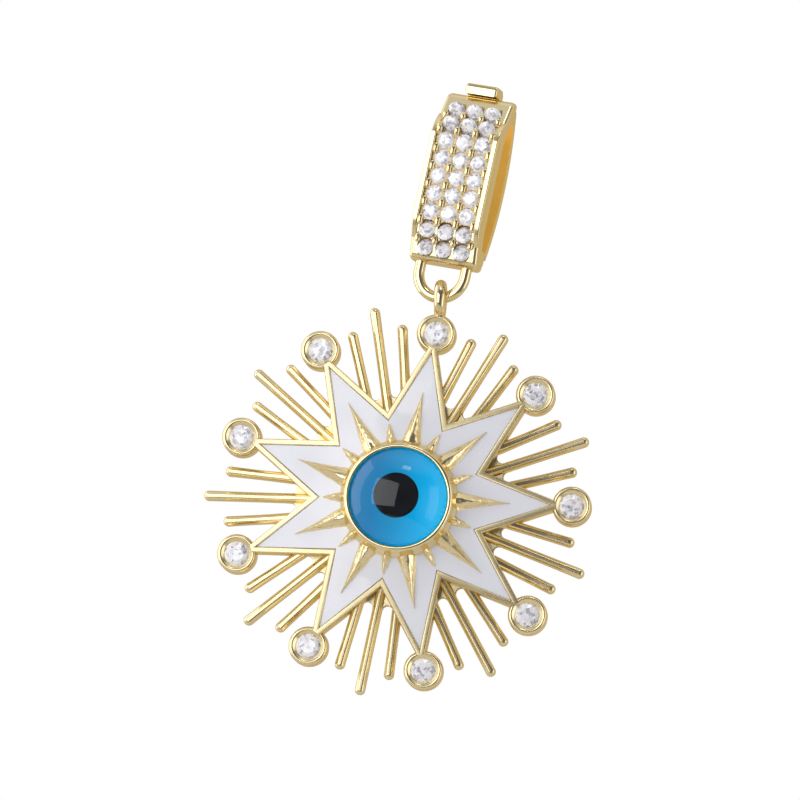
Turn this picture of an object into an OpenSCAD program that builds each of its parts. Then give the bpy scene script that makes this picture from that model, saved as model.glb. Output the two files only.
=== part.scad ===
// Starburst pendant with a glass evil eye, hanging from a clip bail set with small stones.
// Millimetres. +Z is up, the front faces -Y and +X is to the right.
// The origin is where the chain bears, in the top of the bail's opening.

/* [Bail] */
// Width of the bail along the chain
bail_w = 5.5; // [5.2:0.1:6.5]
// Height of the opening for the chain
opening_h = 10.1; // [9.6:0.1:12]
// Depth of the opening, front to back, at its middle
opening_d = 2.2; // [2:0.05:2.8]
// Front plate that holds the small stones
front_wall = 1.2; // [1.1:0.05:1.5]
// Plate thickness on the top and bottom slopes
slope_wall = 1.1; // [1:0.05:1.2]
// Back bar
back_wall = 0.5; // [0.4:0.05:0.65]
// Metal above the opening
top_wall = 1.75; // [1.3:0.05:1.8]
// Metal below the opening
bottom_wall = 1.6; // [1.6:0.05:2]
// Height of the sloping top part of the front
top_slope_h = 3.35; // [2.9:0.05:3.4]
// Height of the sloping bottom part of the front
bottom_slope_h = 3; // [2.8:0.05:3.3]
// Front edge of the flat top, measured forward of the chain
top_front = 0.55; // [0.55:0.05:0.75]
// Front edge of the flat bottom, measured forward of the chain
bottom_front = 1.4; // [1.25:0.05:1.6]
// Back edge of the flat top, measured behind the chain
top_back = 0.05; // [0:0.01:0.1]

/* [Rails] */
// Width of the raised rail at each side of the small stones
rail_w = 0.45; // [0.3:0.05:0.5]
// Height of the rails above the plate
rail_h = 0.3; // [0.2:0.05:0.4]
// How far the lower end of a rail runs on past the bend
rail_tail = 0.5; // [0.3:0.05:0.7]

/* [Small stones of the bail] */
// Number of columns
columns = 3; // [1:1:3]
// Number of rows
rows = 9; // [1:1:9]
// Diameter of a small stone
pave_d = 1.2; // [1:0.05:1.25]
// Distance between columns
column_pitch = 1.48; // [1.4:0.01:1.5]
// Distance between rows along the front
row_pitch = 1.4; // [1.36:0.01:1.42]
// First row, measured along the front from the top edge
first_row = 1.67; // [1.5:0.01:1.75]
// Width of the bead that holds four stones
bead_w = 0.4; // [0.3:0.02:0.44]
// Length of the bead
bead_l = 0.86; // [0.7:0.02:0.9]
// Height of the bead above the plate
bead_rise = 0.18; // [0.12:0.01:0.24]
// Depth of a bead's foot in the plate
bead_root = 0.1; // [0.05:0.01:0.15]
// Distance from an outer column of stones to the beads outside it
edge_bead = 0.67; // [0.62:0.01:0.7]
// How far the girdle of a small stone lies below the plate's face
pave_sink = 0.17; // [0.1:0.01:0.2]

/* [Gate] */
// Gap between the gate and the front shell where they close
seam_gap = 0.05; // [0.04:0.01:0.08]
// Seam, measured behind the chain
seam_back = 0.12; // [0.11:0.01:0.16]
// Width of the thumb tab
tab_w = 2.6; // [2:0.1:3.2]
// Height of the thumb tab
tab_h = 0.9; // [0.7:0.05:1.2]
// Front of the thumb tab, measured forward of the chain
tab_front = 1.05; // [0.9:0.05:1.2]
// Width of the gate's knuckle
knuckle_w = 2.3; // [1.8:0.1:2.8]
// Radius of the knuckle and of the ears beside it
ear_r = 0.64; // [0.6:0.01:0.66]
// Radius of the hinge pin
pin_r = 0.3; // [0.25:0.01:0.34]
// Running clearance round the pin, in the knuckle
pin_play = 0.04; // [0.03:0.01:0.06]
// Gap round the knuckle and the ears
knuckle_gap = 0.08; // [0.05:0.01:0.1]
// Gap between the knuckle and each ear
ear_gap = 0.05; // [0.04:0.01:0.08]
// Hinge axis, measured forward of the chain
hinge_front = 0.3; // [0.28:0.01:0.34]
// Hinge axis, measured up from the bottom
hinge_up = 0.92; // [0.86:0.01:0.94]

/* [Ring and loop] */
// Wire of the half ring under the bail
ring_wire = 0.85; // [0.7:0.05:1]
// Radius of the half ring to the middle of its wire
ring_r = 1.86; // [1.7:0.02:2.1]
// Straight length of the half ring below the bail
ring_leg = 0.65; // [0.4:0.05:1]
// Plane of the half ring, measured forward of the chain
ring_front = 0.78; // [0.74:0.02:0.86]
// Wire of the loop on the star
loop_wire = 0.9; // [0.7:0.05:1]
// Radius of the loop to the middle of its wire
loop_r = 1.1; // [1.05:0.02:1.3]
// Space between the two wires at rest
wire_gap = 0.1; // [0.08:0.01:0.12]
// How far the loop is let into the top setting
loop_sink = 0.34; // [0.25:0.01:0.36]
// Lean of the loop to the left, as it is soldered on
loop_lean = 10; // [0:1:12]

// How far to the right of the half ring's lowest point the loop hangs
loop_aside = 0.3; // [0:0.05:0.4]
// Height of the loop above the star's back
loop_level = 1.1; // [1:0.05:1.3]
// Turn of the star about the vertical, as it hangs
drop_turn = 14; // [0:1:16]

/* [Star] */
// Number of points
points = 9; // [9:1:9]
// Distance of the tip stones from the centre
tip_r = 13.1; // [12.6:0.1:14]
// Distance of the valleys from the centre
valley_r = 6.8; // [6.6:0.05:7.1]
// Half the width of a point where it meets its tip setting
point_half = 0.32; // [0.28:0.02:0.4]
// How far a point runs into its tip setting
point_sink = 0.3; // [0.2:0.05:0.4]
// Width of the raised outline
outline_w = 0.4; // [0.3:0.01:0.42]
// Height of the outline at the tips
tip_level = 1.8; // [1.7:0.05:2]
// Height of the outline at the valleys
valley_level = 2.3; // [2.2:0.05:2.4]
// Height of the metal round the eye
middle_level = 2.8; // [2.6:0.05:2.9]
// Height of the pocket floor under the enamel
pocket_level = 0.9; // [0.7:0.05:1.1]
// Step from the outline down to the enamel
enamel_step = 0.12; // [0.08:0.01:0.2]

/* [Sunburst] */
// Distance of the long spikes' tips from the centre
long_spike_r = 8.4; // [7.8:0.1:8.8]
// White left in a valley, between the short spike and the outline
valley_white = 0.35; // [0.25:0.05:0.6]
// Half the width of a long spike at its root
long_spike_half = 0.84; // [0.7:0.02:0.88]
// Half the width of a short spike at its root
short_spike_half = 0.56; // [0.45:0.02:0.58]
// Height of the ridges where they meet the bezel
ridge_level = 3.5; // [3.3:0.05:3.7]
// How far the spikes run into the bezel's foot
spike_sink = 0.3; // [0.2:0.05:0.4]
// Depth of the spikes' feet in the pocket's floor
spike_root = 0.1; // [0.05:0.05:0.2]

/* [Rays] */
// Distance of the middle rays' tips from the centre
middle_ray_r = 15.1; // [14.4:0.1:15.8]
// Distance of the side rays' tips from the centre
side_ray_r = 13.65; // [13:0.05:14.2]
// Sideways place of a side ray at its root
side_root = 1.5; // [1.4:0.02:1.6]
// Sideways place of a side ray at its tip
side_tip = 1.95; // [1.8:0.02:2.1]
// Width of a ray
ray_w = 0.7; // [0.5:0.01:0.72]
// Height of a ray at its root
ray_root_level = 1.6; // [1.3:0.05:1.75]
// Height of a ray near its tip
ray_tip_level = 0.95; // [0.8:0.05:1.2]
// Thickness of the ledge that joins the roots of three rays
ledge_level = 0.75; // [0.5:0.05:0.9]
// Distance of the ledge's edge from the centre
ledge_r = 8.4; // [8:0.05:8.7]

/* [Tip settings] */
// Diameter of a tip stone
stone_d = 2; // [1.8:0.05:2.05]
// Outer radius of a tip setting
setting_r = 1.48; // [1.38:0.01:1.5]
// How far the lip of a setting reaches over its stone
lip = 0.07; // [0.04:0.01:0.1]
// Bevel on the edges of a setting's rim
setting_edge = 0.12; // [0.08:0.01:0.14]
// How far a stone's girdle lies below its setting's rim
girdle_drop = 0.25; // [0.2:0.01:0.3]

/* [Eye] */
// Diameter of the glass eye
eye_d = 8; // [7.8:0.05:8.05]
// Outer radius of the bezel at its foot
bezel_foot_r = 4.5; // [4.42:0.02:4.6]
// Outer radius of the bezel's rim
bezel_rim_r = 4.12; // [4.1:0.01:4.2]
// Height of the rim above the star's back
rim_level = 4.26; // [4.2:0.01:4.35]
// How far the rim reaches over the glass
rim_lip = 0.28; // [0.24:0.01:0.3]
// Bevel on the edges of the rim
bezel_edge = 0.12; // [0.08:0.01:0.14]
// Height of the eye's seat above the star's back
seat_level = 2.9; // [2.7:0.05:3]
// Thickness of the coloured glass
iris_t = 0.7; // [0.55:0.05:0.75]
// Diameter of the pupil
pupil_d = 3.4; // [2.8:0.1:4]
// Thickness of the pupil
pupil_t = 0.2; // [0.1:0.05:0.3]
// Height of the clear dome
dome_h = 2.35; // [2.2:0.05:2.5]

/* [Cut of the stones] */
// Depth below the girdle, as a share of the diameter
pavilion_share = 0.42; // [0.38:0.01:0.44]
// Thickness of the girdle, as a share of the diameter
girdle_share = 0.02; // [0.01:0.01:0.03]
// Height above the girdle, as a share of the diameter
crown_share = 0.15; // [0.13:0.01:0.16]
// Width of the table, as a share of the diameter
table_share = 0.56; // [0.52:0.01:0.6]
// Width of the flat at the lowest point, as a share of the diameter
foot_share = 0.12; // [0.1:0.01:0.14]

/* [Fits] */
// Gap round each stone, glass and enamel in its seat
set_gap = 0.02; // [0.01:0.01:0.03]

/* [Hidden] */
stone_names = [for (i = [1:points]) str("tip_stone_", i)];
pave_names = [for (i = [1:columns * rows]) str("bail_stone_", i)];
$fn = 48;

// Side outline of the bail, as [y, z]
plate_y = -opening_d / 2 - front_wall;
back_y = opening_d / 2 + back_wall;
base_z = -opening_h - bottom_wall;
high_bend_z = top_wall - top_slope_h;
low_bend_z = base_z + bottom_slope_h;
front_edge = [[-top_front, top_wall], [plate_y, high_bend_z], [plate_y, low_bend_z], [-bottom_front, base_z]];
mid_z = (top_wall + base_z) / 2;
bulge = back_y - top_back;
back_r = (pow(top_wall - mid_z, 2) + bulge * bulge) / (2 * bulge);
back_centre = [back_y - back_r, mid_z];
back_steps = 20;
gate_y = seam_back + seam_gap;
hinge_at = [-hinge_front, base_z + hinge_up];

// Where the star hangs
ring_z = base_z - ring_leg;
pivot_z = ring_z - ring_r;
loop_foot = tip_r + setting_r - loop_sink;
loop_reach = 2 * loop_r - ring_wire / 2 - wire_gap;
hang = [-loop_reach * sin(loop_lean), loop_foot + loop_reach * cos(loop_lean), loop_level];

// Star
step = 360 / points;
point_end = tip_r - setting_r + point_sink;
valley_at = valley_r * [sin(step / 2), cos(step / 2)];
seat_r = stone_d / 2 + set_gap;
girdle_level = tip_level - girdle_drop;
eye_r = eye_d / 2;
iris_top = seat_level + set_gap + iris_t;
dome_r = (eye_r * eye_r + dome_h * dome_h) / (2 * dome_h);
dome_base = iris_top + set_gap;
ray_sides = 4;
// Angle between a valley's line and the flanks beside it
valley_angle = step / 2 + atan2(valley_at[0] - point_half, point_end - valley_at[1]);
short_spike_r = valley_r - (outline_w + set_gap) / sin(valley_angle) - set_gap - valley_white;
spike_start = bezel_foot_r - spike_sink;
spike_blunt = 0.1;
// Rise of a point's flank for each millimetre to the side of its valley
flank_rise = (point_end * cos(step / 2) - valley_r) / (point_end * sin(step / 2));

gold = [0.86, 0.74, 0.46];
white = [0.92, 0.92, 0.94];
crystal = [0.85, 0.9, 0.98];

function heading(a) = [cos(a), sin(a)];
function cross2(a, b) = a[0] * b[1] - a[1] * b[0];
// Line through p and q, moved to its left by d
function moved(p, q, d) = let (u = (q - p) / norm(q - p), n = d * [-u[1], u[0]]) [p + n, q + n];
// Point where two lines cross
function meet(a, b) =
    let (u = a[1] - a[0], v = b[1] - b[0]) a[0] + u * cross2(b[0] - a[0], v) / cross2(u, v);
// Depth of the bail's back, at radius r, for the height z
function back_at(r, z) = back_centre[0] + sqrt(r * r - pow(z - mid_z, 2));
// Points up the bail's back between two heights
function back_curve(r, low, high) =
    [for (i = [0:back_steps]) let (z = low + (high - low) * i / back_steps) [back_at(r, z), z]];

// Solid skinned over rings of points, closed at both ends
module skin(rings) {
    n = len(rings[0]);
    last = len(rings) - 1;
    polyhedron(
        points = [for (ring = rings) each ring],
        faces = concat(
            [[for (i = [n - 1:-1:0]) i]],
            [for (k = [0:last - 1], i = [0:n - 1]) let (a = k * n + i, b = k * n + (i + 1) % n)
                each [[a, b + n, a + n], [a, b, b + n]]],
            [[for (i = [0:n - 1]) last * n + i]]
        )
    );
}

// Side outline drawn as [y, z], made w wide and centred on the bail
module across(w) {
    rotate([90, 0, 90]) linear_extrude(w, center = true) children();
}

module band_side() {
    polygon(concat(front_edge, back_curve(back_r, base_z, top_wall)));
}

module opening_side() {
    top = [[0, 0], [1, 0]];
    bottom = [[0, -opening_h], [1, -opening_h]];
    slope_in = moved(front_edge[0], front_edge[1], slope_wall);
    plate_in = moved(front_edge[1], front_edge[2], front_wall);
    foot_in = moved(front_edge[2], front_edge[3], slope_wall);
    polygon(concat(
        [meet(top, slope_in), meet(slope_in, plate_in), meet(plate_in, foot_in), meet(foot_in, bottom)],
        back_curve(back_r - back_wall, -opening_h, 0)
    ));
}

// Everything behind the line y, between two heights
module behind(y, low, high) {
    translate([y, low]) square([back_y - y + 1, high - low]);
}

module band_ring_side() {
    difference() {
        band_side();
        opening_side();
    }
}

// Places along the front, measured from the top edge
slope_l = norm(front_edge[1] - front_edge[0]);
plate_l = norm(front_edge[2] - front_edge[1]);
function leg_of(s) = s < slope_l ? 0 : s < slope_l + plate_l ? 1 : 2;
function leg_start(leg) = leg == 0 ? 0 : leg == 1 ? slope_l : slope_l + plate_l;
function front_at(s) =
    let (leg = leg_of(s), a = front_edge[leg], b = front_edge[leg + 1])
    a + (b - a) * (s - leg_start(leg)) / norm(b - a);
function front_tilt(s) =
    let (leg = leg_of(s), u = front_edge[leg + 1] - front_edge[leg]) atan2(u[0], -u[1]);

// Puts children on the front, x to the side, with their +Z pointing out of the plate
module on_front(x, s) {
    at = front_at(s);
    translate([x, at[0], at[1]]) rotate([90 - front_tilt(s), 0, 0]) children();
}

function column_x(c) = (c - (columns - 1) / 2) * column_pitch;
function row_s(r) = first_row + r * row_pitch;
pave_seat_h = pave_sink + pavilion_share * pave_d + 2 * set_gap;

module pave_seats() {
    for (c = [0:columns - 1], r = [0:rows - 1])
        on_front(column_x(c), row_s(r))
            translate([0, 0, -pave_seat_h]) cylinder(h = pave_seat_h + 1, r = pave_d / 2 + set_gap);
}

// Bead that holds the stones around it, long along the front
module bead() {
    a = bead_l / 2;
    b = bead_w / 2;
    translate([0, 0, -bead_root]) linear_extrude(bead_root + bead_rise)
        polygon([[0, -a], [b, -a / 2], [b, a / 2], [0, a], [-b, a / 2], [-b, -a / 2]]);
}

module beads() {
    inner = [for (c = [0:1:columns - 2]) (column_x(c) + column_x(c + 1)) / 2];
    edge = column_x(columns - 1) + edge_bead;
    for (x = concat([-edge], inner, [edge]), r = [0:1:rows - 2])
        on_front(x, row_s(r) + row_pitch / 2) bead();
}

module rails() {
    rise = rail_h / 2;
    for (side = [-1, 1])
        translate([side * (bail_w - rail_w) / 2, 0, 0])
            across(rail_w) polygon([
                [plate_y + rise, high_bend_z], [plate_y, high_bend_z], [plate_y - rail_h, high_bend_z - rise],
                [plate_y - rail_h, low_bend_z], [plate_y, low_bend_z - rail_tail],
                [plate_y + rise, low_bend_z - rail_tail]
            ]);
}

module half_ring() {
    translate([0, -ring_front, ring_z]) {
        rotate([90, 0, 0]) rotate([0, 0, 180]) rotate_extrude(angle = 180)
            translate([ring_r, 0]) circle(ring_wire / 2);
        for (side = [-1, 1])
            translate([side * ring_r, 0, 0]) cylinder(h = ring_leg + bottom_wall / 4, r = ring_wire / 2);
    }
}

module hinge_bar(r, w) {
    translate([0, hinge_at[0], hinge_at[1]]) rotate([0, 90, 0]) cylinder(h = w, r = r, center = true);
}

module bail_shell() {
    color(gold) difference() {
        union() {
            across(bail_w) difference() {
                band_ring_side();
                behind(seam_back, mid_z, top_wall + 1);
                behind(hinge_at[0], base_z - 1, mid_z);
            }
            hinge_bar(ear_r, bail_w);
            rails();
            beads();
            half_ring();
        }
        pave_seats();
        hinge_bar(pin_r + set_gap, bail_w + 1);
        hinge_bar(ear_r + knuckle_gap, knuckle_w + 2 * ear_gap);
    }
}

module tab_side() {
    low = top_wall + seam_gap;
    high = top_wall + tab_h;
    round_r = tab_h / 3;
    neck_back = gate_y + back_wall;
    corner = [round_r - tab_front, high - round_r];
    polygon(concat(
        [[gate_y, top_wall / 3], [gate_y, low], [-tab_front, low]],
        [for (a = [180:-15:90]) corner + round_r * heading(a)],
        [[neck_back - round_r / 2, high], [neck_back, high - round_r / 2], [neck_back, top_wall / 3]]
    ));
}

module bail_gate() {
    foot_y = hinge_at[0] + ear_r / 2;
    color(gold) difference() {
        union() {
            difference() {
                across(bail_w) intersection() {
                    band_ring_side();
                    union() {
                        behind(gate_y, mid_z, top_wall + 1);
                        behind(foot_y, hinge_at[1], mid_z);
                    }
                }
                hinge_bar(ear_r + knuckle_gap, bail_w + 1);
            }
            hinge_bar(ear_r, knuckle_w);
            across(knuckle_w) intersection() {
                band_ring_side();
                behind(foot_y, hinge_at[1], -opening_h + 1);
            }
            across(tab_w) tab_side();
        }
        hinge_bar(pin_r + pin_play, bail_w + 1);
    }
}

module hinge_pin() {
    color("darkgoldenrod") hinge_bar(pin_r, bail_w - 0.1);
}

// Round cut stone of diameter d with its girdle at z = 0: pavilion, girdle, crown and table
module cut_stone(d, sides) {
    turn = 180 / sides;
    function ring(width, z) =
        [for (i = [0:sides - 1]) concat(width * d / 2 * heading(-i * 360 / sides - turn), z * d)];
    color(crystal) skin([
        ring(foot_share, -pavilion_share), ring(1, -girdle_share), ring(1, 0), ring(table_share, crown_share)
    ]);
}

module bail_stone(i) {
    on_front(column_x(i % columns), row_s(floor(i / columns)))
        translate([0, 0, -pave_sink]) cut_stone(pave_d, 8);
}

// The star is drawn flat, x to the right, y towards its top point and z to the front
module hung() {
    translate([loop_aside, -ring_front, pivot_z]) rotate([90, 0, drop_turn])
        translate(-hang) children();
}

module round_star(offset_turns) {
    for (k = [0:points - 1]) rotate([0, 0, -(k + offset_turns) * step]) children();
}

// One flank of a point, from its valley to its tip setting, moved inwards
function flank(inset) = moved(valley_at, [point_half, point_end], inset);
function star_outline(inset) =
    let (line = flank(inset), valley_line = [[0, 0], valley_at], valley = meet(line, valley_line),
        cap = [[0, point_end], [1, point_end]], axis = [[0, 0], [0, 1]],
        blunt = meet(line, cap), sharp = meet(line, axis),
        end = sharp[1] < point_end ? [sharp] : [[-blunt[0], blunt[1]], blunt])
    [for (k = [0:points - 1]) each [for (p = concat(end, [valley])) turned(p, -k * step)]];
function turned(p, a) = [p[0] * cos(a) - p[1] * sin(a), p[0] * sin(a) + p[1] * cos(a)];

// Height of the outline at the distance r from the centre
function outline_level(r) =
    lookup(r, [[bezel_foot_r, middle_level], [valley_r, valley_level], [tip_r, tip_level]]);

// Everything under the outline's height, less a step down
module relief(drop) {
    reaches = [0, bezel_foot_r, valley_r, tip_r];
    rotate_extrude() polygon(concat([for (r = reaches) [r, outline_level(r) - drop]], [[tip_r, 0], [0, 0]]));
}

module spike(tip, half) {
    low = pocket_level - spike_root;
    edge = middle_level - enamel_step / 2;
    end = half * spike_blunt;
    top = outline_level(tip);
    shoulder = top - enamel_step / 2;
    skin([
        [[half, spike_start, low], [half, spike_start, edge], [0, spike_start, ridge_level],
            [-half, spike_start, edge], [-half, spike_start, low]],
        [[end, tip, low], [end, tip, shoulder], [0, tip, top], [-end, tip, shoulder], [-end, tip, low]]
    ]);
}

// Plan of a spike with the gap round it
module spike_plan(tip, half) {
    wide = half + set_gap;
    narrow = half * spike_blunt + set_gap;
    polygon([[-wide, spike_start], [wide, spike_start], [narrow, tip + set_gap], [-narrow, tip + set_gap]]);
}

module sunburst() {
    round_star(0) spike(long_spike_r, long_spike_half);
    round_star(0.5) spike(short_spike_r, short_spike_half);
}

module sunburst_plan() {
    circle(bezel_foot_r + set_gap);
    round_star(0) spike_plan(long_spike_r, long_spike_half);
    round_star(0.5) spike_plan(short_spike_r, short_spike_half);
}

// Ray along +Y with a rounded ridge and a round end
module ray(length) {
    half = ray_w / 2;
    side_h = 0.45 * ray_tip_level;
    stations = [[0, 1, ray_root_level], [0.3 * length, 1, (ray_root_level + 2 * ray_tip_level) / 3],
        [0.65 * length, 1, ray_tip_level], [length - half, 1, ray_tip_level],
        [length - 0.3 * half, 0.75, 0.92 * ray_tip_level], [length, 0.35, 0.75 * ray_tip_level]];
    skin([for (s = stations) concat([[half * s[1], s[0], 0]],
        [for (i = [0:ray_sides]) let (a = 180 * i / ray_sides)
            [half * s[1] * cos(a), s[0], side_h + (s[2] - side_h) * sin(a)]],
        [[-half * s[1], s[0], 0]])]);
}

module ray_group() {
    root = valley_r - outline_w / 2;
    side_start = valley_r + side_root * flank_rise - ray_w / 4;
    side_end = sqrt(side_ray_r * side_ray_r - side_tip * side_tip);
    lean = atan2(side_tip - side_root, side_end - side_start);
    translate([0, root, 0]) ray(middle_ray_r - root);
    for (side = [-1, 1])
        translate([side * side_root, side_start, 0]) rotate([0, 0, -side * lean])
            ray(norm([side_tip - side_root, side_end - side_start]));
}

// Ledge between the flanks of two points, with round gaps between the rays
module ledge() {
    reach = ledge_r + side_root / 2;
    spread = reach - valley_r;
    gap_r = (side_root - ray_w) / 2;
    gap_x = (side_root + ray_w / 8) / 2;
    linear_extrude(ledge_level) difference() {
        polygon([[0, valley_r - outline_w], [spread, reach], [-spread, reach]]);
        for (side = [-1, 1]) {
            translate([side * gap_x, ledge_r + gap_r]) circle(gap_r, $fn = 16);
            translate([side * gap_x - gap_r, ledge_r + gap_r]) square([2 * gap_r, reach]);
        }
    }
}

module eye_bezel() {
    inner = eye_r + set_gap;
    rotate_extrude() polygon([
        [0, pocket_level], [bezel_foot_r, pocket_level], [bezel_foot_r, middle_level],
        [bezel_foot_r - bezel_edge, ridge_level - bezel_edge], [bezel_rim_r, rim_level - bezel_edge],
        [bezel_rim_r - bezel_edge, rim_level], [eye_r - rim_lip + bezel_edge, rim_level],
        [eye_r - rim_lip, rim_level - bezel_edge / 2], [inner, dome_base + bezel_edge],
        [inner, seat_level], [0, seat_level]
    ]);
}

module tip_setting() {
    throat = stone_d / 2 - lip;
    floor_level = girdle_level - pavilion_share * stone_d - 2 * set_gap;
    translate([0, tip_r, 0]) rotate_extrude() polygon([
        [0, 0], [setting_r, 0], [setting_r, tip_level - setting_edge], [setting_r - setting_edge, tip_level],
        [throat + setting_edge, tip_level], [throat, tip_level - setting_edge / 2],
        [seat_r, girdle_level + setting_edge / 2], [seat_r, floor_level], [0, floor_level]
    ]);
}

module loop() {
    translate([0, loop_foot, loop_level]) rotate([0, 0, loop_lean])
        translate([0, loop_r + loop_wire / 2, 0]) rotate([0, 90, 0]) rotate_extrude()
            translate([loop_r, 0]) circle(loop_wire / 2);
}

module star_frame() {
    color(gold) hung() {
        difference() {
            union() {
                intersection() {
                    linear_extrude(middle_level) polygon(star_outline(0));
                    relief(0);
                }
                round_star(0.5) {
                    ray_group();
                    ledge();
                }
            }
            translate([0, 0, pocket_level]) linear_extrude(middle_level) polygon(star_outline(outline_w));
        }
        sunburst();
        eye_bezel();
        round_star(0) tip_setting();
        loop();
    }
}

module enamel() {
    color(white) hung() intersection() {
        translate([0, 0, pocket_level + set_gap]) linear_extrude(middle_level) difference() {
            polygon(star_outline(outline_w + set_gap));
            sunburst_plan();
        }
        relief(enamel_step);
    }
}

module eye_iris() {
    color("deepskyblue") hung() translate([0, 0, seat_level + set_gap]) difference() {
        cylinder(h = iris_t, r = eye_r);
        translate([0, 0, iris_t - pupil_t - set_gap]) cylinder(h = pupil_t + 1, r = pupil_d / 2 + set_gap);
    }
}

module eye_pupil() {
    color("black") hung() translate([0, 0, iris_top - pupil_t]) cylinder(h = pupil_t, r = pupil_d / 2);
}

module eye_dome() {
    color("lightcyan") hung() translate([0, 0, dome_base]) rotate_extrude() intersection() {
        translate([0, dome_h - dome_r]) circle(dome_r, $fn = 96);
        square([eye_r, dome_h]);
    }
}

module tip_stone(i) {
    hung() rotate([0, 0, -i * step]) translate([0, tip_r, girdle_level]) cut_stone(stone_d, 16);
}

bail_shell();
bail_gate();
hinge_pin();
star_frame();
enamel();
eye_iris();
eye_pupil();
eye_dome();
for (i = [0:points - 1]) tip_stone(i);
for (i = [0:columns * rows - 1]) bail_stone(i);
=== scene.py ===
import math

import bmesh
import bpy
from mathutils import Matrix, Vector


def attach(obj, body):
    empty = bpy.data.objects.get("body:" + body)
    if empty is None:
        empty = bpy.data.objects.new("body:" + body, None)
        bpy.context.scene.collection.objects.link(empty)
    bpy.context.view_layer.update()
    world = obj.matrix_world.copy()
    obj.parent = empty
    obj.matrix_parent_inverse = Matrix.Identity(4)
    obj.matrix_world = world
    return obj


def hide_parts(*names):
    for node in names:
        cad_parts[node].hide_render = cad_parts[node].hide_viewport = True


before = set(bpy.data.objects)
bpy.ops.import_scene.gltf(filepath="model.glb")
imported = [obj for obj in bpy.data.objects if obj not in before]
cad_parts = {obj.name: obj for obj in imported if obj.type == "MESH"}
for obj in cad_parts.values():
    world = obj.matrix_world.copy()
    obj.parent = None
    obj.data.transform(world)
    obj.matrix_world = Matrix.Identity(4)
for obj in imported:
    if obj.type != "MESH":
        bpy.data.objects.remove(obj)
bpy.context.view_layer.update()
print("frame loaded:", len(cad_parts), "nodes")

# Sizes are in millimetres here, and placing a piece turns them into metres.
mm = 0.001
near = 0.001  # points closer than this are at one place
slack = 0.01  # leeway for picking edges by their level
quarterTurn = math.radians(90)

bail = {"width": 5.5, "top": 1.75, "base": -11.7, "front": -2.3, "highBend": -1.6, "lowBend": -8.7,
        "topFront": -0.55, "baseFront": -1.4, "wall": 1.2, "slopeWall": 1.1, "hollowBase": -10.1,
        "lip": 0.12, "footBack": 0.3, "footStep": 0.3, "footRamp": 0.6, "bends": (0.5, 0.4, 0.4, 0.55),
        "edgeRound": 0.32}
backArc = {"back": 1.6, "bulge": 1.55, "wall": 0.5}
hinge = {"y": -0.3, "z": -10.78, "ear": 0.64, "pin": 0.3, "knuckle": 2.3, "gap": 0.05, "inset": 0.03,
         "pinInset": 0.05}
halfRing = {"wire": 0.85, "radius": 1.86, "front": -0.78, "middle": -12.35, "leg": 1.0}
loop = {"wire": 0.9, "radius": 1.1, "level": 1.1, "foot": 14.24, "reach": 1.675, "lean": 10, "turn": 14,
        "aside": 0.3, "solderBelow": -0.2, "solderWidth": 0.95}
star = {"points": 9, "tip": 13.1, "valley": 6.8, "pointHalf": 0.32, "pointEnd": 11.92, "rim": 0.46,
        "tipLevel": 1.8, "valleyLevel": 2.3, "middle": 4.5, "middleLevel": 2.8, "pocket": 0.9}

pivotZ = halfRing["middle"] - halfRing["radius"]
lean = math.radians(loop["lean"])
hangPoint = Vector((-loop["reach"] * math.sin(lean), loop["foot"] + loop["reach"] * math.cos(lean),
                    loop["level"]))
toMetres = Matrix.Scale(mm, 4)
starPlace = (toMetres @ Matrix.Translation((loop["aside"], halfRing["front"], pivotZ))
             @ Matrix.Rotation(math.radians(loop["turn"]), 4, "Z") @ Matrix.Rotation(quarterTurn, 4, "X")
             @ Matrix.Translation(-hangPoint))
# A side outline is drawn as (y, z) in x and y, and its thickness runs along the bail's width.
sideTurn = Matrix(((0, 0, 1, 0), (1, 0, 0, 0), (0, 1, 0, 0), (0, 0, 0, 1)))
sidePlace = toMetres @ sideTurn
stepAngle = math.radians(360 / star["points"])


# Shared ways of working in edit mode

def clearSelection():
    if bpy.context.object and bpy.context.object.mode != "OBJECT":
        bpy.ops.object.mode_set(mode="OBJECT")
    bpy.ops.object.select_all(action="DESELECT")


def choose(piece):
    clearSelection()
    piece.select_set(True)
    bpy.context.view_layer.objects.active = piece


def openPiece(piece, kind="VERT"):
    choose(piece)
    bpy.ops.object.mode_set(mode="EDIT")
    bpy.ops.mesh.select_mode(type=kind)
    bpy.ops.mesh.select_all(action="DESELECT")


def pick(piece, kind, test):  # selects the points or edges that pass the test
    bpy.ops.mesh.select_mode(type={"verts": "VERT", "edges": "EDGE"}[kind])
    bpy.ops.mesh.select_all(action="DESELECT")
    shape = bmesh.from_edit_mesh(piece.data)
    found = [part for part in getattr(shape, kind) if test(part)]
    for part in found:
        part.select_set(True)
    shape.select_flush_mode()
    bmesh.update_edit_mesh(piece.data)
    return len(found)


def nameNew(name):  # names a new primitive and moves its place into its mesh
    piece = bpy.context.object
    piece.name = piece.data.name = name
    bpy.ops.object.transform_apply(location=True, rotation=True, scale=True)
    return piece


def newDisc(name, sides, radius=1, level=0):
    clearSelection()
    bpy.ops.mesh.primitive_circle_add(vertices=sides, radius=radius, fill_type="NGON",
                                      location=(0, 0, level))
    return nameNew(name)


def movePoint(piece, index, step):
    bpy.ops.mesh.select_all(action="DESELECT")
    shape = bmesh.from_edit_mesh(piece.data)
    shape.verts.ensure_lookup_table()
    shape.verts[index].select_set(True)
    bmesh.update_edit_mesh(piece.data)
    bpy.ops.transform.translate(value=step)


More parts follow.
